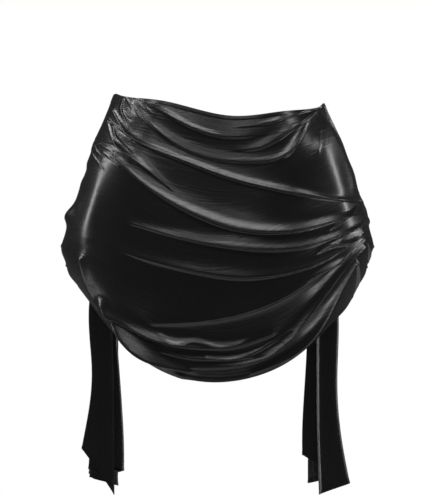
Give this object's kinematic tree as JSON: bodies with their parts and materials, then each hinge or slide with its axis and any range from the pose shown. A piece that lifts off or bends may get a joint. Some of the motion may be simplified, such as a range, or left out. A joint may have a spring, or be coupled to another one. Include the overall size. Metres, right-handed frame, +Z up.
{
  "type": "evening stole",
  "caption": "Black satin stole in its worn form: swagged across the back, gathered over both bent arms, with loose tails hanging in front.",
  "frame": {"origin": "midway between the upper arms, level with the edge at the shoulders, where the wearer holds it", "axes": "+Z up, +Y the way the wearer faces, +X towards the wearer's right"},
  "size_m": [0.6007, 0.3214, 0.7667],
  "materials": {
    "satin": "thin black satin with a strong sheen, slightly sheer"
  },
  "bodies": {
    "root": {"left_tail": "satin", "left_arm_wrap": "satin", "back_drape": "satin", "right_arm_wrap": "satin", "right_tail": "satin"}
  },
  "joints": []
}
